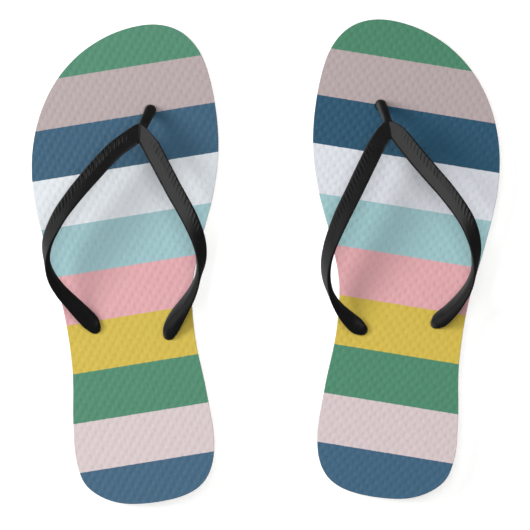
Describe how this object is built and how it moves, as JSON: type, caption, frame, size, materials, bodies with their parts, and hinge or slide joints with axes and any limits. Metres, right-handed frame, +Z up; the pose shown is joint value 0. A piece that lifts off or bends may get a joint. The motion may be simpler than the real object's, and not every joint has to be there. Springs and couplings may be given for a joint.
{
  "type": "pair of flip flops",
  "caption": "Pair of thong sandals: flat wedge soles with a striped, dimpled footbed and a slim Y-shaped strap plugged through each sole.",
  "frame": {"origin": "on the floor, at the centre of the pair's bounding box seen from above", "axes": "+X from the left sandal to the right one, +Y from heels to toes, +Z up"},
  "size_m": [0.2574, 0.2664, 0.0574],
  "materials": {
    "footbed": "matte, printed in ten broad cross stripes, pressed with a lattice of shallow dimples",
    "midsole": "matte white foam rubber",
    "outsole": "matte white rubber with a shallow tread",
    "strap": "satin black, fine slanting ribs on the face"
  },
  "bodies": {
    "left_forefoot": {"left_footbed_toe_half": "footbed", "left_midsole_toe_half": "midsole", "left_outsole_toe_half": "outsole", "left_strap": "strap"},
    "left_heel": {"left_footbed_heel_half": "footbed", "left_midsole_heel_half": "midsole", "left_outsole_heel_half": "outsole"},
    "right_forefoot": {"right_footbed_toe_half": "footbed", "right_midsole_toe_half": "midsole", "right_outsole_toe_half": "outsole", "right_strap": "strap"},
    "right_heel": {"right_footbed_heel_half": "footbed", "right_midsole_heel_half": "midsole", "right_outsole_heel_half": "outsole"}
  },
  "joints": [
    {"name": "left_ball_flex", "type": "hinge", "parent": "left_forefoot", "child": "left_heel", "pos_m": [-0.07493, 0.04271, 0.01513], "axis": [-0.987, -0.1607, 0], "range_deg": [0, 35], "stiffness_Nm_per_rad": 0.8, "deforming": ["left_strap"]},
    {"name": "right_ball_flex", "type": "hinge", "parent": "right_forefoot", "child": "right_heel", "pos_m": [0.07493, 0.04551, 0.01513], "axis": [-0.987, 0.1607, 0], "range_deg": [0, 35], "stiffness_Nm_per_rad": 0.8, "deforming": ["right_strap"]},
    {"name": "right_sandal_apart", "type": "slide", "parent": "left_forefoot", "child": "right_forefoot", "axis": [1, 0, 0], "range_m": [-0.03, 0.12]}
  ]
}
